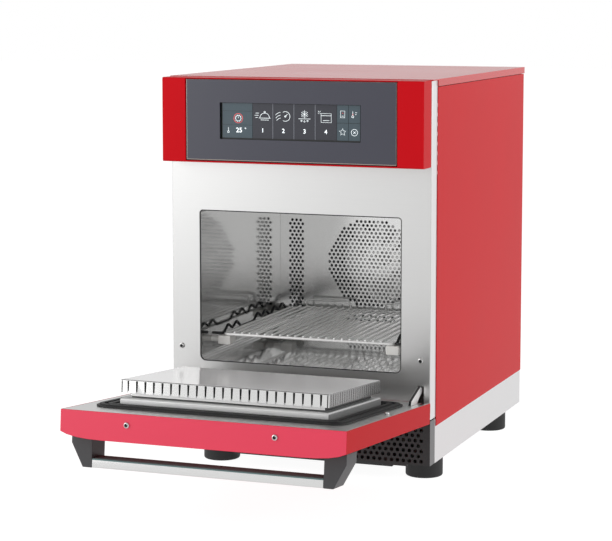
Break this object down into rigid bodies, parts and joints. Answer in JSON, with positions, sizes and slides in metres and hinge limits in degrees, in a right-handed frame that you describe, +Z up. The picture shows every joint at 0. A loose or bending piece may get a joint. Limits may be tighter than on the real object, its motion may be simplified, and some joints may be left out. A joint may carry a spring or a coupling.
{
  "type": "high-speed oven",
  "caption": "Counter-top high-speed oven with a drop-down door, slotted choke plug, perforated fan wall, wire rack and touch panel.",
  "frame": {"origin": "middle of the oven's own box at floor level, with the door open", "axes": "+X to the right seen from the front, +Y from the door towards the back, +Z up"},
  "size_m": [0.4036, 0.8808, 0.5873],
  "materials": {
    "red_paint": "satin red",
    "stainless": "fine brushed",
    "bright_steel": "bright",
    "black_metal": "matt black",
    "dark_grey": "satin dark grey",
    "zinc": "zinc plated",
    "black_rubber": "matt",
    "panel_glass": "polished grey",
    "black_plastic": "matt black",
    "white_plastic": "satin white",
    "green_board": "green",
    "wool": "fibrous",
    "windings": "varnished"
  },
  "bodies": {
    "cabinet": {"base_pan": "stainless", "foot_front_left": "black_rubber", "foot_rear_left": "black_rubber", "foot_front_right": "black_rubber", "foot_rear_right": "black_rubber", "front_frame": "stainless", "lower_grille": "black_metal", "side_panel_left": "red_paint", "side_panel_right": "red_paint", "top_cover": "red_paint", "back_panel": "zinc", "cable_gland": "black_plastic", "chamber_liner": "bright_steel", "chamber_back": "bright_steel", "fan_housing": "zinc", "heater_ring": "dark_grey", "fan_motor": "zinc", "chamber_insulation": "wool", "waveguide": "zinc", "magnetron": "zinc", "transformer": "windings", "cooling_fan_frame": "black_plastic", "rack_rest_front_left": "white_plastic", "rack_rest_rear_left": "white_plastic", "rack_rest_front_right": "white_plastic", "rack_rest_rear_right": "white_plastic", "fascia_shell": "red_paint", "control_glass": "panel_glass", "display_module": "black_plastic", "control_board": "green_board", "filter_rail_left": "zinc", "filter_rail_right": "zinc", "hinge_bracket_left": "zinc", "hinge_bracket_right": "zinc", "hinge_pin_left": "stainless", "hinge_pin_right": "stainless", "frame_screw_left": "stainless", "frame_screw_right": "stainless"},
    "door": {"door_skin": "red_paint", "door_inner_plate": "stainless", "door_insulation": "wool", "door_gasket": "black_rubber", "door_step": "stainless", "choke_core": "black_plastic", "choke_comb": "bright_steel", "handle_bracket_left": "dark_grey", "handle_bracket_right": "dark_grey", "handle_bar": "bright_steel", "hinge_arm_left": "zinc", "hinge_arm_right": "zinc", "door_screw_left": "stainless", "door_screw_right": "stainless", "interlock_stud_left": "bright_steel", "interlock_stud_right": "bright_steel"},
    "convection_fan": {"fan_wheel": "stainless"},
    "cooling_fan": {"cooling_fan_rotor": "black_plastic"},
    "rack": {"wire_rack": "bright_steel", "rack_spacer_left": "black_metal", "rack_spacer_right": "black_metal"},
    "filter": {"filter_tray": "black_metal"}
  },
  "joints": [
    {"name": "door_hinge", "type": "hinge", "parent": "cabinet", "child": "door", "pos_m": [0, -0.09411, 0.1165], "axis": [-1, 0, 0], "range_deg": [0, 84.93]},
    {"name": "fan_spin", "type": "hinge", "parent": "cabinet", "child": "convection_fan", "pos_m": [0, 0.28, 0.278], "axis": [0, 1, 0], "continuous": true},
    {"name": "cooling_fan_spin", "type": "hinge", "parent": "cabinet", "child": "cooling_fan", "pos_m": [0.078, 0.008, 0.0833], "axis": [0, 1, 0], "continuous": true},
    {"name": "rack_slide", "type": "slide", "parent": "cabinet", "child": "rack", "axis": [0, 1, 0], "range_m": [-0.2, 0]},
    {"name": "filter_slide", "type": "slide", "parent": "cabinet", "child": "filter", "axis": [0, -1, 0], "range_m": [0, 0.2]}
  ]
}
